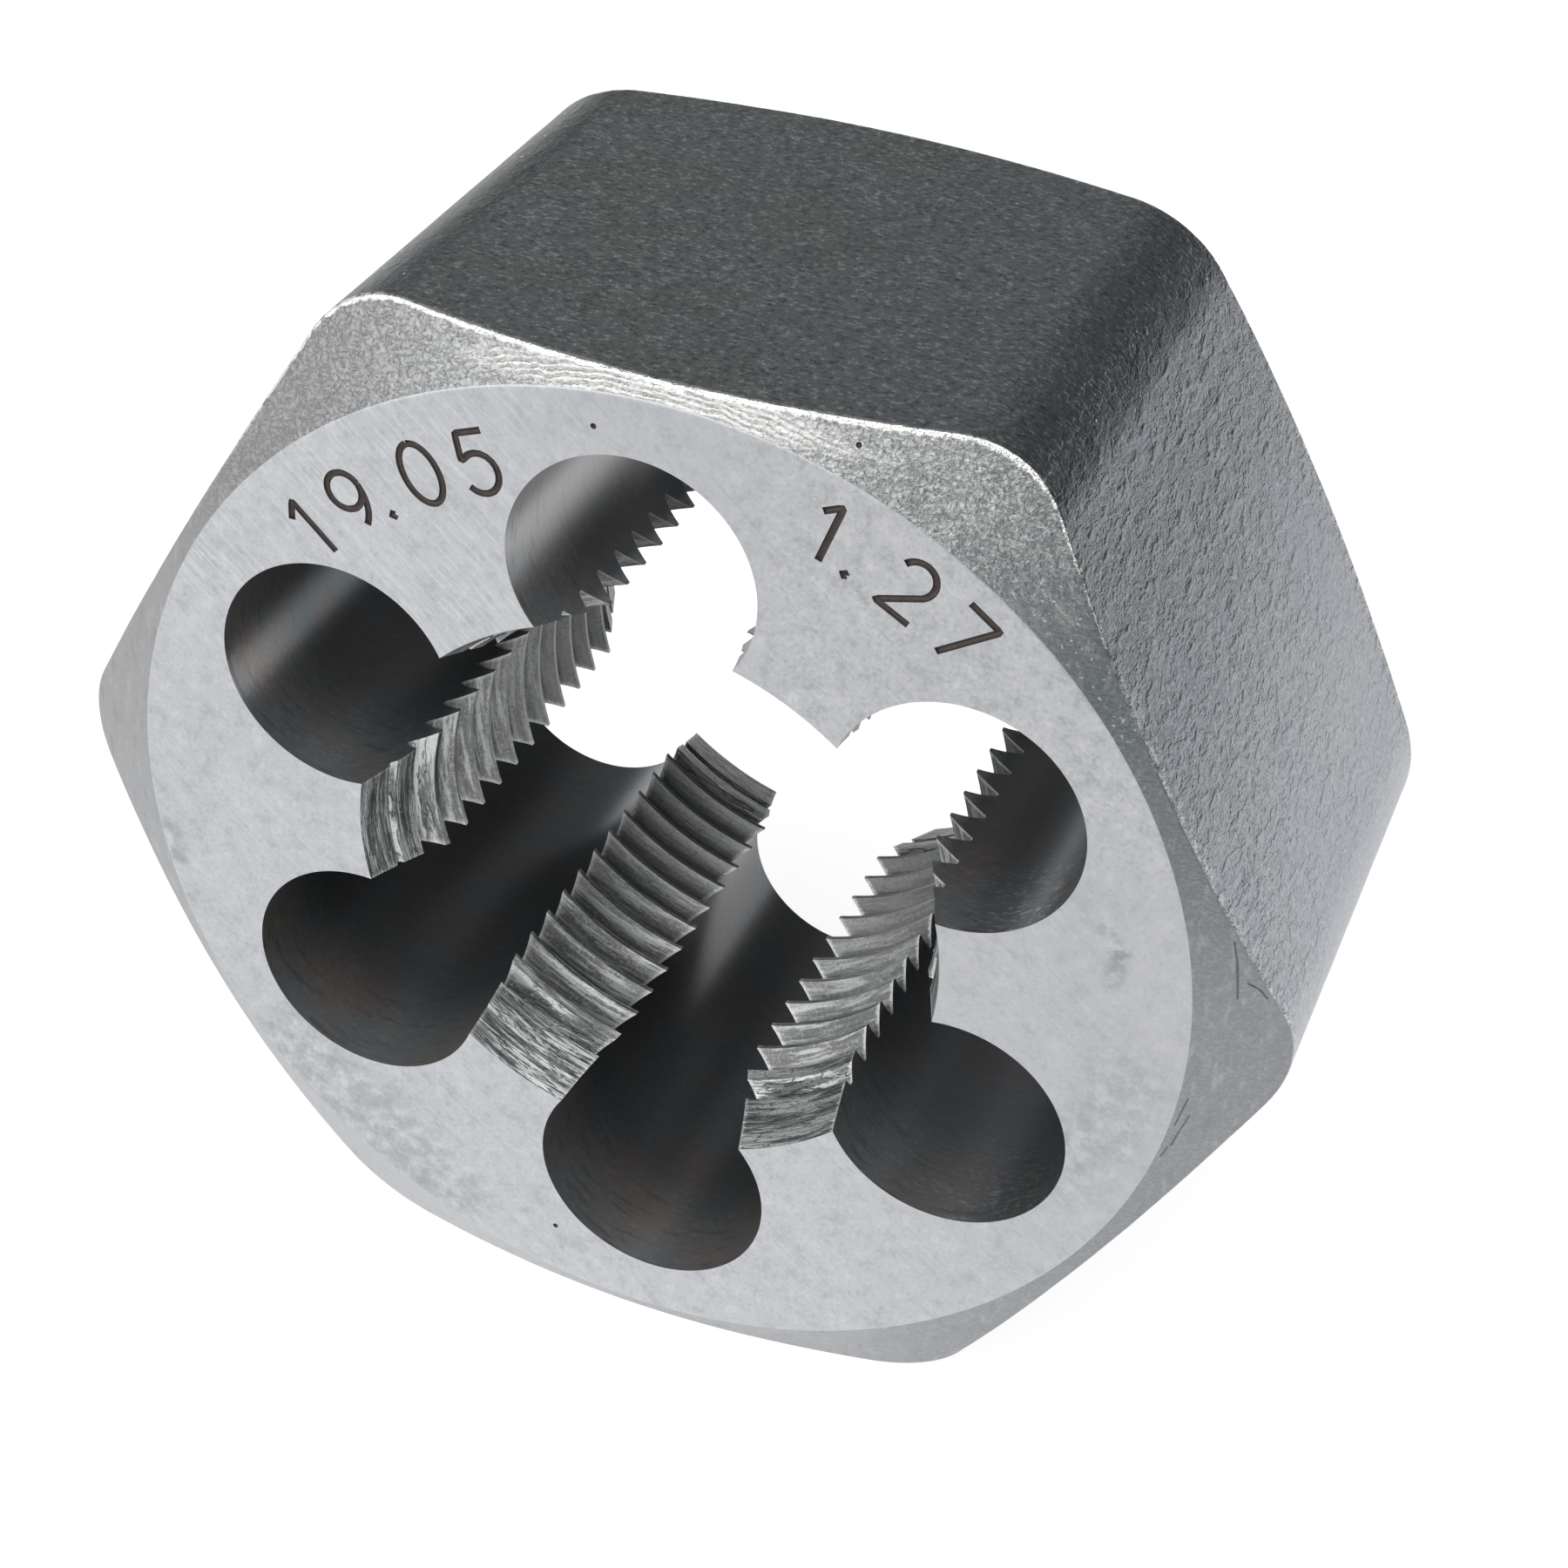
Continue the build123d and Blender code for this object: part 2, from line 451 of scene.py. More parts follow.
# Pores, furrows and ridges that the blasting leaves
pores = turned_chamfer.between(grain, 0.46, 0.3) * 0.4 + furrows * 0.36
dents = pores * (1 - rings_in_highlight * 0.6) * crinkled + ring_depth * 0.7
blasted = turned_chamfer.mix(dents * 0.75, blasted, (0.11, 0.12, 0.115, 1))
ridges = turned_chamfer.between((crepe - 0.5).math("ABSOLUTE"), 0.04, 0.12)
peaks = (turned_chamfer.between(grain, 0.5, 0.68) * 0.2 + ridges * 0.25) * crinkled
blasted = turned_chamfer.mix(peaks, blasted, (0.78, 0.80, 0.77, 1))
streaks = turned_chamfer.noise(pattern(turned_chamfer, (0.5, 1, 1.6)), 1.6, 4.0, 0.6)
blasted = turned_chamfer.mix(
    turned_chamfer.between(streaks, 0.45, 0.3) * 0.3, blasted, (0.2, 0.21, 0.22, 1)
)
blasted = turned_chamfer.mix(
    turned_chamfer.between(streaks, 0.55, 0.7) * 0.2, blasted, (0.6, 0.61, 0.62, 1)
)

# Each row is a scratch's start, its end and its width.
chamfer_scratches = (
    ((18.32, 4.4), (18.50, 3.7), 0.035),
    ((18.50, 3.7), (18.62, 3.0), 0.045),
    ((18.62, 3.0), (18.70, 2.4), 0.035),
    ((18.9, 2.95), (19.24, 2.72), 0.035),
    ((19.24, 2.72), (19.5, 2.38), 0.03),
    ((17.86, -1.5), (17.62, -2.6), 0.035),
    ((17.98, -2.2), (17.76, -2.9), 0.03),
    ((17.76, -2.9), (17.60, -3.5), 0.045),
    ((17.5, -3.6), (17.36, -4.0), 0.04),
)
unscratched = 1.0
for start, end, width in chamfer_scratches:
    unscratched = unscratched * (1 - scratch(turned_chamfer, on_die, start, end, width))
scratched = (1 - unscratched) * (die_y < 0)
blasted = turned_chamfer.mix(scratched * 0.6, blasted, (0.07, 0.07, 0.08, 1))
# Painted highlight along the edge
edge_highlight = painted_edge_line(turned_chamfer, on_die, from_edge, width=0.13)
blasted = turned_chamfer.mix(edge_highlight, blasted, edge_highlight_colour)
surface = crepe * crinkled * 0.9 + grain * crinkled * 0.3 - dents * 0.3 - scratched * 0.4
steel(turned_chamfer, blasted, surface, depth=0.08, roughness=0.42 - edge_highlight * 0.12)

# The faces are ground flat: pale satin steel, finely mottled and a little coarser at
# the upper right, with short grinding scratches in places and a few dull smudges.
ground_face = new_finish("ground_face")
on_die = pattern(ground_face)
die_x, die_y, die_z = on_die.xyz()
lay_angle = math.radians(42)  # of the grinding scratches, down to the right
across_lay = math.radians(-25)
fine_lines = ground_face.noise(pattern(ground_face, (1.2, 1, 0.09), (0, lay_angle, 0)), 1.0, 2.0)
long_lines = ground_face.noise(pattern(ground_face, (4.0, 1, 0.12), (0, lay_angle, 0)), 1.0, 1.0)
cross_lines = ground_face.noise(pattern(ground_face, (2.5, 1, 0.1), (0, across_lay, 0)), 1.0, 1.0)
scratches = ground_face.between(long_lines, 0.66, 0.76) * 0.5
scratches = scratches.math("MAXIMUM", ground_face.between(cross_lines, 0.74, 0.82) * 0.4)
clouds = ground_face.noise(on_die, 0.3, 3.0)
ground_well = ground_face.between(ground_face.noise(on_die, 0.22, 2.0), 0.45, 0.62, low=0.3)
mottling = ground_face.noise(on_die, 1.6, 4.0, 0.7)
stipple = ground_face.noise(on_die, 6.0, 2.0, 0.6)

# Mottled tones, coarser at the upper right
satin = ground_face.mix(clouds, (0.46, 0.475, 0.50, 1), (0.55, 0.555, 0.575, 1))
coarse = ground_face.between(die_x, 1.0, 5.0) * ground_face.between(die_z, 5.0, 9.0)
for texture, start, end, share, colour in (
    (mottling, 0.5, 0.32, 0.5, (0.36, 0.375, 0.39, 1)),
    (mottling, 0.52, 0.7, 0.5, (0.63, 0.635, 0.65, 1)),
    (stipple, 0.52, 0.7, 0.2, (0.70, 0.70, 0.71, 1)),
    (stipple, 0.46, 0.3, 0.25, (0.30, 0.31, 0.32, 1)),
):
    share = (coarse + 1) * share
    satin = ground_face.mix(ground_face.between(texture, start, end) * share, satin, colour)

# Bright grinding lines, clearest at the upper left, and painted shade darkening the face towards
# the upper right
at_top_left = ground_face.between(die_x, 0.0, -5.0) * ground_face.between(die_z, 4.0, 8.0)
lay = ground_face.between(fine_lines, 0.47, 0.68) * (ground_well * 0.2 + at_top_left * 0.3)
satin = ground_face.mix(lay, satin, (0.66, 0.67, 0.69, 1))
upper_right_shade = ground_face.between(die_x * 1.5 + die_z + clouds * 12, -2.0, 30.0)
satin = ground_face.mix(upper_right_shade * 0.34, satin, (0.37, 0.365, 0.37, 1))

# Each row is a smudge's start, its end, its width and how dull it is.
smudges = (
    ((14.72, 3.9), (15.15, 3.35), 0.5, 0.5),
    ((15.2, 3.3), (15.1, 2.2), 0.5, 0.5),
    ((-17.2, -3.0), (-16.8, -3.8), 0.7, 0.4),
    ((-12.5, -11.0), (-7.0, -15.6), 2.4, 0.35),
    ((14.5, -5.5), (16.2, -1.5), 1.8, 0.3),
)
for start, end, width, share in smudges:
    dull = scratch(ground_face, on_die, start, end, width) * share
    dull = dull * ground_face.between(mottling, 0.62, 0.42) * (die_y < 0)
    satin = ground_face.mix(dull, satin, (0.25, 0.265, 0.28, 1))
satin = ground_face.mix(scratches * 0.4, satin, (0.3, 0.3, 0.32, 1))
surface = fine_lines * ground_well * 0.7 - scratches * 0.4 + stipple * (coarse + 0.5)
steel(ground_face, satin, surface, depth=0.005, roughness=0.28 + mottling * 0.12)

# The bore is cut to the thread's crests with a cone at each mouth, and the thread is
# a truncated V cut along a right-hand helix. Only six lands of it are left to cut.
thread_diameter = 19.05
thread_pitch = 1.27
thread_half_angle = math.radians(30)
pitch = shape.size("Thread pitch", thread_pitch)
root = shape.size("Thread root radius", thread_diameter / 2)
thread_start = shape.size("Depth of the first root", 0.89)
turns_below = 17
thread_turns = 19
points_a_turn = 192
overlap = 0.05
hole_turn = math.radians(3.2)
lowest_hole = math.radians(270) + hole_turn

root_half_width = pitch / 16
crest_depth = (pitch / 2 - pitch / 8) / math.tan(thread_half_angle)
crest = root - crest_depth
groove_depth = crest_depth + overlap
groove_half_width = root_half_width + groove_depth * math.tan(thread_half_angle)


def section_point(out, up):
    return shape.add("ShaderNodeCombineXYZ", {}, {"X": out, "Y": up})


groove_section = shape.add(
    "GeometryNodeCurvePrimitiveQuadrilateral",
    {"mode": "POINTS"},
    {
        "Point 1": section_point(0.0, root_half_width * -1),
        "Point 2": section_point(0.0, root_half_width),
        "Point 3": section_point(groove_depth * -1, groove_half_width),
        "Point 4": section_point(groove_depth * -1, groove_half_width * -1),
    },
)
helix = shape.add(
    "GeometryNodeCurveSpiral",
    {},
    {
        "Resolution": points_a_turn,
        "Rotations": thread_turns,
        "Start Radius": root,
        "End Radius": root,
        "Height": pitch * thread_turns,
        "Reverse": True,
    },
)
helix = shape.add("GeometryNodeSetCurveNormal", {"mode": "Z_UP"}, {"Curve": helix})
groove = shape.add(
    "GeometryNodeCurveToMesh",
    {},
    {"Curve": helix, "Profile Curve": groove_section, "Fill Caps": True},
)
helix_foot = half_length - thread_start - pitch * turns_below
groove = shape.add(
    "GeometryNodeTransform",
    {},
    {
        "Geometry": groove,
        "Translation": shape.add("ShaderNodeCombineXYZ", {}, {"Z": helix_foot}),
        "Rotation": (0, 0, lowest_hole),
    },
)

past_face = 2.0
mouth_clearance = 0.65
core = shape.add(
    "GeometryNodeMeshCylinder",
    {"fill_type": "NGON"},
    {"Vertices": points_a_turn, "Radius": crest, "Depth": length + 2 * past_face},
)
mouth = shape.size("Mouth radius", (thread_diameter + mouth_clearance) / 2)
lead_in = pitch * shape.size("Lead-in turns", 2.5)
cone = shape.add(
    "GeometryNodeMeshCone",
    {"fill_type": "NGON"},
    {
        "Vertices": points_a_turn,
        "Radius Bottom": crest,
        "Radius Top": mouth + (mouth - crest) / lead_in * past_face,
        "Depth": lead_in + past_face,
    },
)
cone_place = shape.add("ShaderNodeCombineXYZ", {}, {"Z": half_length - lead_in})
front_cone = shape.add(
    "GeometryNodeTransform", {}, {"Geometry": cone, "Translation": cone_place}
)
back_cone = shape.add(
    "GeometryNodeTransform", {}, {"Geometry": front_cone, "Rotation": (math.pi, 0, 0)}
)
thread_tools = [finished(tool, "cut_thread") for tool in (groove, core, front_cone, back_cone)]

# Six chip holes are drilled right through and break into the bore, so chips fall
# clear and each land gets a cutting edge. Their walls stay dark from hardening.
chip_hole_count = 6
chip_hole_diameter = 8.0
chip_hole_setback = 2.2
points_round_hole = 128
rows_down_hole = 24
chip_hole = shape.add(
    "GeometryNodeMeshCylinder",
    {"fill_type": "NGON"},
    {
        "Vertices": points_round_hole,
        "Side Segments": rows_down_hole,
        "Radius": shape.size("Chip hole radius", chip_hole_diameter / 2),
        "Depth": length + 2 * past_face,
    },
)
hole_ring = shape.add(
    "GeometryNodeMeshCircle",
    {},
    {
        "Vertices": shape.size("Chip holes", chip_hole_count),
        "Radius": root + shape.size("Chip hole setback", chip_hole_setback),
    },
)
chip_holes = shape.add(
    "GeometryNodeInstanceOnPoints", {}, {"Points": hole_ring, "Instance": chip_hole}
)
chip_holes = shape.add("GeometryNodeRealizeInstances", {}, {"Geometry": chip_holes})
chip_holes = shape.add(
    "GeometryNodeTransform",
    {},
    {"Geometry": chip_holes, "Rotation": (0, 0, half_sector + hole_turn)},
)
chip_holes = finished(chip_holes, "drilled_wall")

drilled_wall = new_finish("drilled_wall")
on_die = pattern(drilled_wall)
die_x, die_y, die_z = on_die.xyz()
from_axis = hypotenuse(die_x, die_z)
feed_lines = drilled_wall.noise(pattern(drilled_wall, (1.6, 0.25, 1.6)), 1.0, 3.0, 0.65)
scale_tint = drilled_wall.noise(on_die, 0.3, 2.0)
flecks = drilled_wall.noise(pattern(drilled_wall, (1, 0.5, 1)), 3.5, 3.0, 0.7)

# Dark scale, with painted light near the front and painted shade deeper in, a painted
# highlight in the top hole, and darker in the right one
near_face = drilled_wall.between(die_y, -4.5, -9.5)
tint = drilled_wall.between(scale_tint, 0.4, 0.6)
dark = drilled_wall.mix(tint, (0.148, 0.170, 0.183, 1), (0.178, 0.166, 0.163, 1))
in_right_hole = drilled_wall.between(die_x, 9.5, 13.0)
# Painted light near the front, so the walls shade darker deeper in
lighter = near_face * drilled_wall.between(die_z, -4.0, -9.0, low=0.7, high=0.95)
front_light_colour = drilled_wall.mix(tint, (0.33, 0.362, 0.382, 1), (0.38, 0.353, 0.338, 1))
dark = drilled_wall.mix(lighter, dark, front_light_colour)
# Painted highlight on the left of the top hole's wall
top_hole_highlight = drilled_wall.between(die_x, 1.0, -3.0, low=0.5, high=0.8)
top_hole_highlight = top_hole_highlight * drilled_wall.between(die_z, 9.5, 12.0)
dark = drilled_wall.mix(top_hole_highlight, dark, (0.53, 0.535, 0.55, 1))
dark = drilled_wall.mix(in_right_hole * 0.85, dark, (0.10, 0.112, 0.125, 1))
low_in_right = in_right_hole * drilled_wall.between(die_z, 6.0, 3.5)
dark = drilled_wall.mix(low_in_right * 0.5, dark, (0.05, 0.056, 0.064, 1))
in_low_right_hole = drilled_wall.between(die_x, 5.0, 8.0) * drilled_wall.between(die_z, 0.0, -4.0)
dark = drilled_wall.mix(in_low_right_hole * 0.5, dark, (0.27, 0.275, 0.285, 1))

# Specks rubbed bright, grime in the feed lines, and bare steel at the ends of the teeth
rubbed = near_face * (in_right_hole * 0.35 + 0.35) + 0.08
rubbed = rubbed * drilled_wall.between(flecks, 0.5, 0.68)
dark = drilled_wall.mix(rubbed, dark, (0.50, 0.50, 0.49, 1))
grimy = drilled_wall.between(feed_lines, 0.48, 0.32) * (near_face * 0.25 + 0.12)
dark = drilled_wall.mix(grimy, dark, (0.06, 0.065, 0.07, 1))
tooth_tip = drilled_wall.between(from_axis, thread_diameter / 2 - 0.25, thread_diameter / 2 - 0.8)
tooth_tip = tooth_tip * drilled_wall.between(flecks, 0.36, 0.54, low=0.35)
dark = drilled_wall.mix(tooth_tip, dark, (0.44, 0.44, 0.435, 1))
surface = feed_lines * 0.4 + flecks * 0.6
steel(drilled_wall, dark, surface, depth=0.004, roughness=0.24 + flecks * 0.12, metallic=0.72)

# What is left of the thread is six lands. The cut steel is grey, with fine torn lines
# along the thread, most of all where it runs out into the lead-in, and the teeth have
# burrs where they end at a chip hole, painted bright as highlights.
cut_thread = new_finish("cut_thread")
on_die = pattern(cut_thread)
die_x, die_y, die_z = on_die.xyz()
from_axis = hypotenuse(die_x, die_z)
torn = cut_thread.noise(pattern(cut_thread, (2.2, 0.12, 2.2)), 1.0, 3.0, 0.7)
fibres = cut_thread.noise(pattern(cut_thread, (1.6, 0.22, 1.6)), 1.0, 3.0, 0.6)
cracks = cut_thread.between((fibres - 0.5).math("ABSOLUTE"), 0.035, 0.0)
grit = cut_thread.noise(on_die, 9.0, 2.0, 0.6)
tint = cut_thread.noise(on_die, 0.6, 2.0)
bands = cut_thread.noise(pattern(cut_thread, (2.4, 0.42, 2.4)), 1.0, 1.0)

# Grey steel, with bright lines along the cut: painted light, strongest towards the front
# and on the lower left, fading towards the back
run_out = cut_thread.between(die_y.math("ABSOLUTE"), thickness / 2 - 3.8, thickness / 2 - 2.2)
light_towards_front = cut_thread.between(die_y, 4.0, -6.5, low=0.1, high=1.55)
on_low_left = cut_thread.between(die_x, 0.0, -3.0) * cut_thread.between(die_z, -4.0, -7.0)
light_towards_front = light_towards_front * (on_low_left * 0.35 + 1)
cut_steel = cut_thread.mix(tint, (0.20, 0.22, 0.22, 1), (0.26, 0.25, 0.245, 1))
lit = cut_thread.between(torn, 0.45, 0.62) * (run_out * 0.5 + 0.5)
lit = (lit + run_out * cut_thread.between(bands, 0.5, 0.62) * 0.6) * light_towards_front
cut_steel = cut_thread.mix(lit, cut_steel, (0.70, 0.72, 0.72, 1))
bright_grit = cut_thread.between(grit, 0.52, 0.7) * light_towards_front * 0.3
cut_steel = cut_thread.mix(bright_grit, cut_steel, (0.62, 0.63, 0.63, 1))

# Dark creases, cracks and grit, and painted shade in the roots
creases = cut_thread.between(torn, 0.45, 0.32) * (run_out * 0.5 + 0.3)
creases = creases.math("MAXIMUM", cracks * (run_out * 0.7 + 0.15))
creases = creases.math("MAXIMUM", cut_thread.between(bands, 0.46, 0.34) * run_out * 0.6)
creases = creases.math("MAXIMUM", cut_thread.between(grit, 0.46, 0.3) * 0.4)
root_shade = cut_thread.between(from_axis, 9.1, 9.5) * (1 - run_out) * 0.5
creases = creases.math("MAXIMUM", root_shade)
cut_steel = cut_thread.mix(creases, cut_steel, (0.05, 0.058, 0.06, 1))

# Burrs where the teeth end at a chip hole's wall, painted bright as highlights, stronger on the
# right
hole_circle = thread_diameter / 2 + chip_hole_setback
off_hole = (die_z.math("ARCTAN2", die_x) - half_sector - hole_turn).math("PINGPONG", half_sector)
to_centre = from_axis * from_axis + hole_circle**2
to_centre = to_centre - from_axis * off_hole.math("COSINE") * (2 * hole_circle)
past_wall = to_centre.math("SQRT") - chip_hole_diameter / 2
burr_highlight = cut_thread.between(past_wall + (grit - 0.5) * 0.35, 0.14, 0.04)
burr_highlight = burr_highlight * cut_thread.between(die_x, 1.0, 6.0, low=0.45)
cut_steel = cut_thread.mix(burr_highlight * 0.8, cut_steel, (0.84, 0.86, 0.86, 1))
surface = torn * (run_out + 0.4) - cracks * run_out * 0.5 + grit * 0.25
steel(cut_thread, cut_steel, surface, depth=0.03, roughness=0.4, metallic=0.75)

# The size of the thread is engraved on the face in millimetres with a single-line
# cutter: its diameter to the left of the top chip hole, its pitch to the right.
mark_height = 2.0
engraving_radius = 0.115
half_figure = 0.33
point_spacing = 0.1
points_round_line = 8


def arc(centre, radii, start, stop, steps=14):
    """Points of part of an ellipse, with angles in degrees."""
    turns = [math.radians(start + (stop - start) * i / steps) for i in range(steps + 1)]
    return [(centre[0] + radii[0] * math.cos(t), centre[1] + radii[1] * math.sin(t)) for t in turns]


# Each figure is one or two strokes in a box that is one unit high.
figures = {
    "0": [arc((0.32, 0.5), (0.3, 0.5), 90, 450, 28)],
    "1": [[(0.18, 0.78), (0.42, 1.0), (0.42, 0.0)]],
    "2": [arc((0.33, 0.7), (0.29, 0.3), 160, -38) + [(0.04, 0.0), (0.64, 0.0)]],
    "5": [[(0.58, 1.0), (0.14, 1.0), (0.08, 0.56)] + arc((0.32, 0.33), (0.3, 0.33), 128, -145)],
    "7": [[(0.04, 1.0), (0.62, 1.0), (0.24, 0.0)]],
    "9": [
        arc((0.33, 0.69), (0.28, 0.31), 0, 360, 24),
        arc((0.05, 0.69), (0.56, 0.69), 0, -62),
    ],
    ".": [arc((0.17, 0.04), (0.035, 0.035), 0, 360, 8)],
}
figure_widths = {".": 0.42}
mark_points = []
mark_lines = []
for text, middle_angle, mark_radius in (("19.05", 124.0, 15.3), ("1.27", 62.0, 15.85)):
    widths = [figure_widths.get(figure, 1.0) for figure in text]
    travelled = -sum(widths) / 2
    for figure, width in zip(text, widths):
        figure_middle = (travelled + width / 2) * mark_height / mark_radius
        turn = Matrix.Rotation(math.radians(middle_angle - 90) - figure_middle, 4, "Z")
        for stroke in figures[figure]:
            first = len(mark_points)
            for across, up in stroke:
                flat_place = Vector((across - half_figure, up - 0.5, 0)) * mark_height
                mark_points.append(turn @ (flat_place + Vector((0, mark_radius, thickness / 2))))
            mark_lines += [(i, i + 1) for i in range(first, len(mark_points) - 1)]
        travelled += width

stroke_input = shape.tree.nodes.new("NodeGroupInput").outputs["Stroke lines"]
engraving = shape.add("GeometryNodeMeshToCurve", {}, {"Mesh": Value(shape, stroke_input)})
engraving = shape.add(
    "GeometryNodeResampleCurve",
    {"mode": "LENGTH"},
    {"Curve": engraving, "Length": point_spacing},
)
engraving = shape.add(
    "GeometryNodeCurveToMesh",
    {},
    {
        "Curve": engraving,
        "Profile Curve": shape.add(
            "GeometryNodeCurvePrimitiveCircle",
            {},
            {
                "Resolution": points_round_line,
                "Radius": shape.size("Engraving radius", engraving_radius),
            },
        ),
        "Fill Caps": True,
    },
)
engraving = shape.add(
    "GeometryNodeMeshBoolean",
    {"operation": "UNION", "solver": "EXACT"},
    {"Mesh 2": [engraving], "Self Intersection": True},
)
engraving = finished(engraving, "engraved_mark")

engraved_mark = new_finish("engraved_mark")
burn = engraved_mark.noise(pattern(engraved_mark), 6.0, 3.0)
soot = engraved_mark.mix(burn, (0.050, 0.040, 0.038, 1), (0.12, 0.10, 0.095, 1))
steel(engraved_mark, soot, burn, depth=0.01, roughness=0.6, metallic=0.4)

# A few small pits have rusted into the marked face and its chamfer. They are no wider
# than an engraved line, and as dark.
pit_radius = 0.095
pit_points = 12
pit_rings = 8
pit_places = [(-1.87, 16.44), (5.85, 17.62), (-2.84, -15.37)]
pits = []
for across, up in pit_places:
    below_face = max(0.0, math.hypot(across, up) - face_radius) * math.tan(chamfer_angle)
    ball = shape.add(
        "GeometryNodeMeshUVSphere",
        {},
        {"Segments": pit_points, "Rings": pit_rings, "Radius": pit_radius},
    )
    pit_place = (across, up, thickness / 2 - below_face)
    ball = shape.add("GeometryNodeTransform", {}, {"Geometry": ball, "Translation": pit_place})
    pits.append(finished(ball, "engraved_mark"))

# The die is one piece: the tools above are cut out of the blank, and each leaves its
# own finish. Then the shape is turned to stand as it does in the frame.
die_shape = shape.add(
    "GeometryNodeMeshBoolean",
    {"operation": "DIFFERENCE", "solver": "MANIFOLD"},
    {"Mesh 1": blank, "Mesh 2": [*thread_tools, chip_holes, engraving, *pits]},
)
crease = shape.size("Angle of a sharp edge", math.radians(17))
edge_angle = shape.add("GeometryNodeInputMeshEdgeAngle")
facing_end = shape.add("GeometryNodeInputNormal").xyz()[2].math("ABSOLUTE")
square_to_axis = 0.9999
die_shape = shape.add(
    "GeometryNodeSetShadeSmooth",
    {"domain": "FACE"},
    {"Geometry": die_shape, "Shade Smooth": facing_end < square_to_axis},
)
die_shape = shape.add(
    "GeometryNodeSetShadeSmooth",
    {"domain": "EDGE"},
    {"Geometry": die_shape, "Selection": edge_angle > crease, "Shade Smooth": False},
)
die_shape = shape.add(
    "GeometryNodeTransform",
    {},
    {"Geometry": die_shape, "Rotation": (math.radians(90), 0, 0), "Scale": (mm, mm, mm)},
)
die_shape = shape.add("GeometryNodeRealizeInstances", {}, {"Geometry": die_shape})
finish_number = shape.add(
    "GeometryNodeInputNamedAttribute", {"data_type": "INT"}, {"Name": "finish"}
)
for number, name in enumerate(finish_names):
    die_shape = shape.add(
        "GeometryNodeSetMaterial",
        {},
        {
            "Geometry": die_shape,
            "Selection": finish_number.math("COMPARE", number, 0.5),
            "Material": bpy.data.materials[name],
        },
    )
group_output = shape.add("NodeGroupOutput")
shape.tree.links.new(die_shape.socket, group_output.inputs[0])

stroke_mesh = bpy.data.meshes.new("engraving_strokes")
stroke_mesh.from_pydata(mark_points, mark_lines, [])
die = bpy.data.objects.new("die", stroke_mesh)
bpy.context.scene.collection.objects.link(die)
cutting = die.modifiers.new("hex_die_shape", "NODES")
cutting.node_group = shape.tree
for identifier, value in shape.sizes.items():
    cutting[identifier] = value
evaluated = die.evaluated_get(bpy.context.evaluated_depsgraph_get())
die.data = bpy.data.meshes.new_from_object(evaluated)
die.modifiers.remove(cutting)
die.data.name = "die"
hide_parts("hex_die")
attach(die, "root")

# The floor is plain and pale with a low wall round it, and shows white to the camera
# and in reflections, with the die's shadow kept on it.
floor_half = 1.2
wall_height = 0.1
floor_mesh = bpy.data.meshes.new("floor")
floor_corners = [(-1, -1), (1, -1), (1, 1), (-1, 1)]
floor_points = [
    (x * floor_half, y * floor_half, lowest.z + height)
    for height in (0.0, wall_height)
    for x, y in floor_corners
]
floor_walls = [(i, 4 + i, 4 + (i + 1) % 4, (i + 1) % 4) for i in range(4)]
floor_mesh.from_pydata(floor_points, [], [(0, 1, 2, 3), *floor_walls])
floor = bpy.data.objects.new("floor", floor_mesh)
bpy.context.scene.collection.objects.link(floor)
floor_finish = new_finish("floor")
path = floor_finish.add("ShaderNodeLightPath")
seen = path.math("MAXIMUM", path.out("Is Glossy Ray"))
seen = seen.math("MAXIMUM", path.out("Is Transmission Ray"))
matt = floor_finish.add("ShaderNodeBsdfDiffuse", {}, {"Color": (0.35, 0.35, 0.35, 1)})
height = pattern(floor_finish).xyz()[2]
clear_of_floor = 1.0
on_wall = height > lowest.z / mm + clear_of_floor
white = floor_finish.mix(on_wall, (0.84, 0.84, 0.84, 1), (0.97, 0.97, 0.97, 1))
white = floor_finish.mix(seen, (0, 0, 0, 1), white)
glow = floor_finish.add("ShaderNodeEmission", {}, {"Color": white, "Strength": 1.0})
both = floor_finish.add("ShaderNodeAddShader", {}, {"Shader": matt, "Shader_001": glow})
floor_finish.add("ShaderNodeOutputMaterial", {}, {"Surface": both})
floor.data.materials.append(bpy.data.materials["floor"])

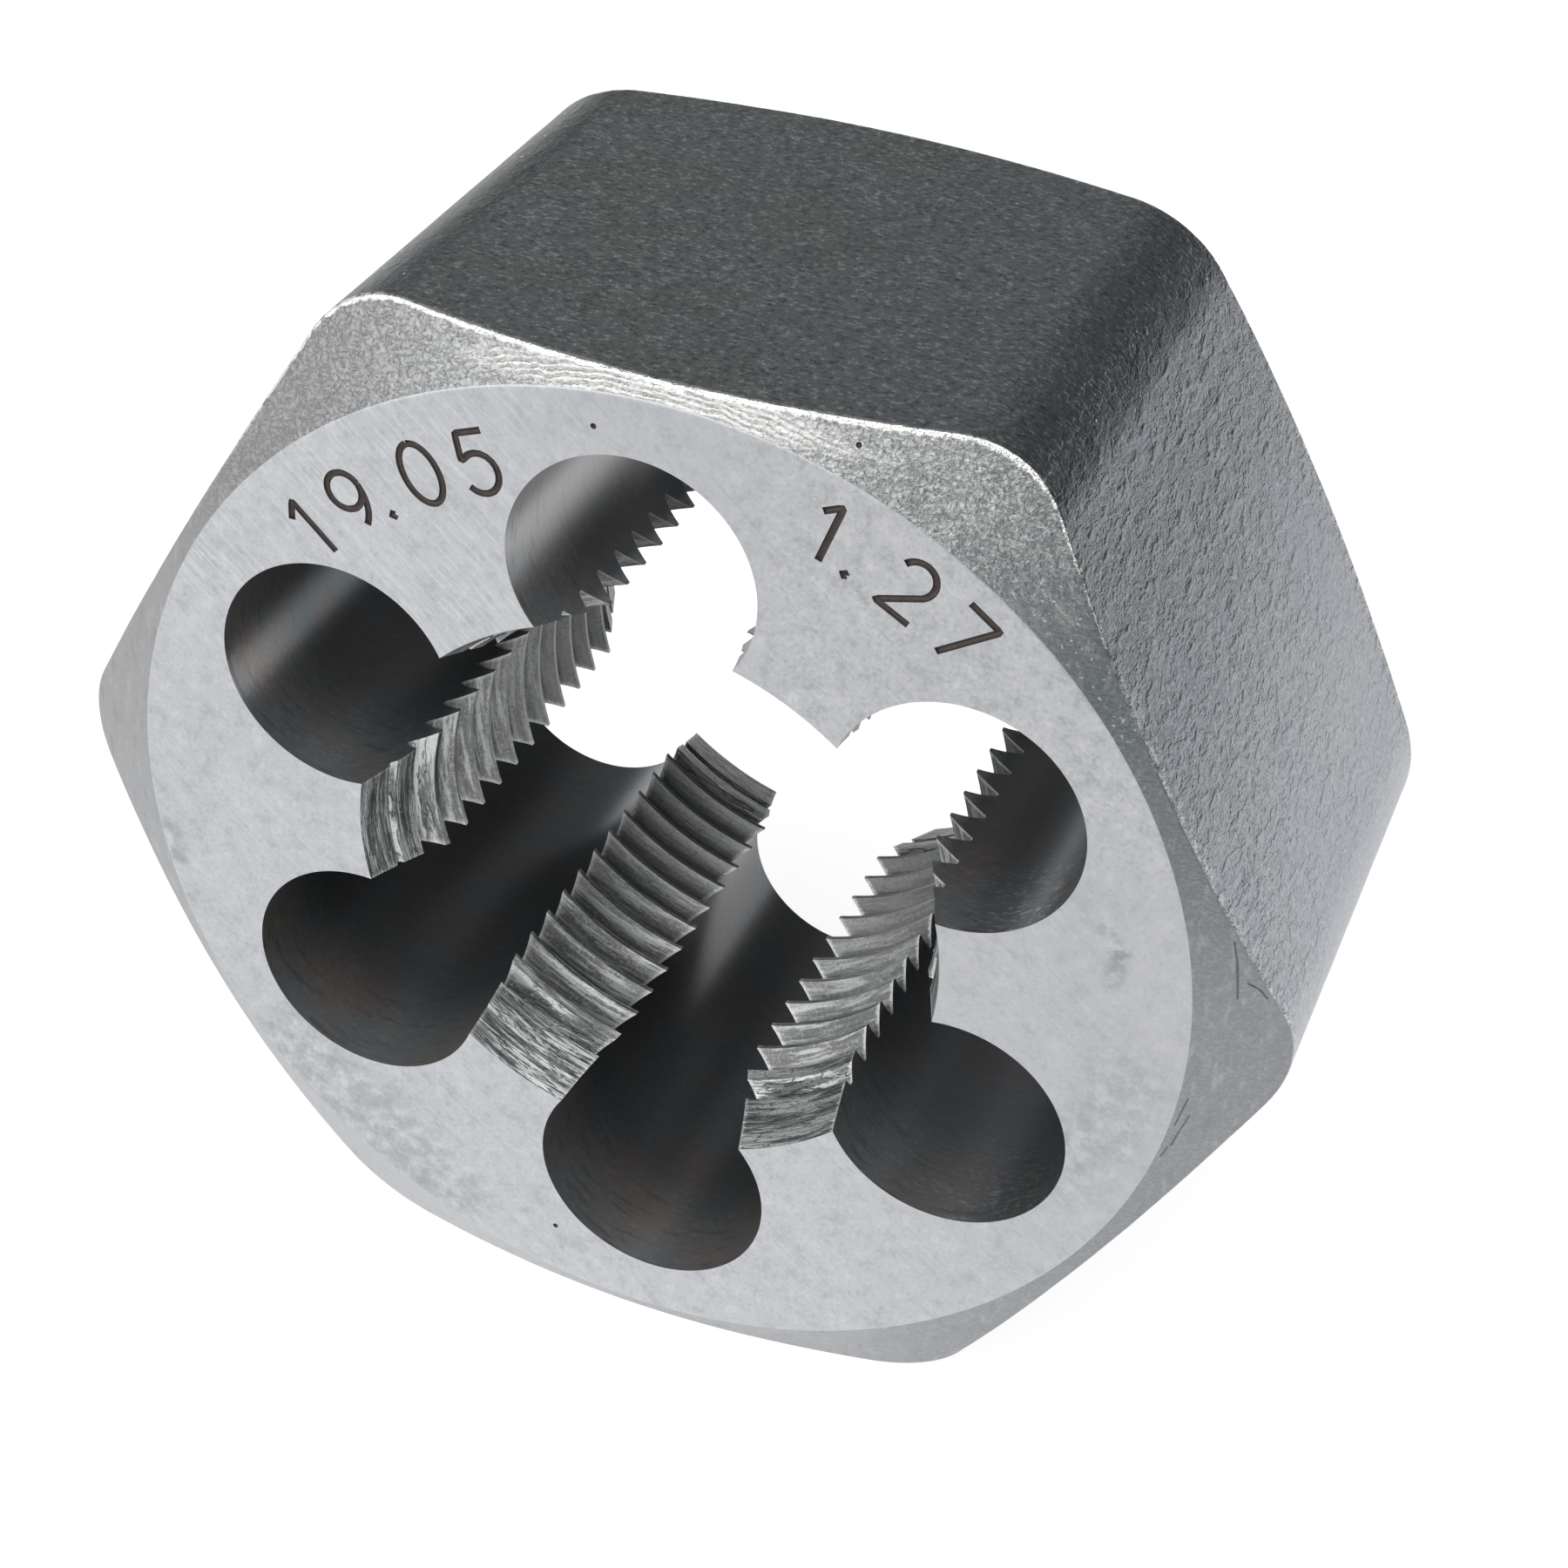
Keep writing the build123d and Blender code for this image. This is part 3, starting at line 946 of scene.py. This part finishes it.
# The room is a plain studio: a large soft light overhead, another in front on the
# left, weak ones at the left and behind, a light horizon, and dark walls above it.
world = bpy.data.worlds.new("studio")
bpy.context.scene.world = world
world.use_nodes = True
world.node_tree.nodes.clear()
room = Nodes(world.node_tree)
way = room.add("ShaderNodeTexCoord")
way_x, way_y, way_z = way.xyz()


def soft_light(towards, inner, outer, strength):
    """A round soft light in a direction, full to the inner angle and gone at the outer."""
    sockets = {"Vector": way, "Vector_001": Vector(towards).normalized()}
    facing = room.add("ShaderNodeVectorMath", {"operation": "DOT_PRODUCT"}, sockets)
    return room.between(
        facing, math.cos(math.radians(outer)), math.cos(math.radians(inner)), high=strength
    )


walls = 0.05
horizon = 0.4
brightness = (
    walls
    + room.between(way_z, 0.3, 0.0, high=horizon) * room.between(way_x + way_y, 0.6, -0.6, low=0.25)
    + soft_light((-0.45, -0.8, 0.4), inner=12, outer=45, strength=1.9)
    + soft_light((0.25, -0.3, 0.92), inner=12, outer=40, strength=2.2)
    + soft_light((-0.5, 0.7, 0.5), inner=10, outer=45, strength=0.15)
    + soft_light((-0.95, 0.1, 0.35), inner=10, outer=38, strength=0.5)
)
backdrop = room.add("ShaderNodeBackground", {}, {"Color": (1, 1, 1, 1), "Strength": brightness})
room.add("ShaderNodeOutputWorld", {}, {"Surface": backdrop})

# The camera stands in front of the die, above it and to its right, a little tilted,
# and aims just off the middle of the bore.
aim = Vector((1.216, -0.463, -1.146)) * mm
camera_distance = 100.67 * mm
azimuth = math.radians(19.84)
elevation = math.radians(36.52)
roll = math.radians(3.64)
lens = bpy.data.cameras.new("camera")
lens.lens = 68.88
lens.sensor_width = 36
lens.clip_start = mm
lens.clip_end = 10
camera = bpy.data.objects.new("camera", lens)
bpy.context.scene.collection.objects.link(camera)
camera.matrix_world = (
    Matrix.Translation(aim)
    @ Matrix.Rotation(azimuth, 4, "Z")
    @ Matrix.Rotation(math.radians(90) - elevation, 4, "X")
    @ Matrix.Rotation(roll, 4, "Z")
    @ Matrix.Translation((0, 0, camera_distance))
)
bpy.context.scene.camera = camera
bpy.context.scene.view_settings.view_transform = "Standard"
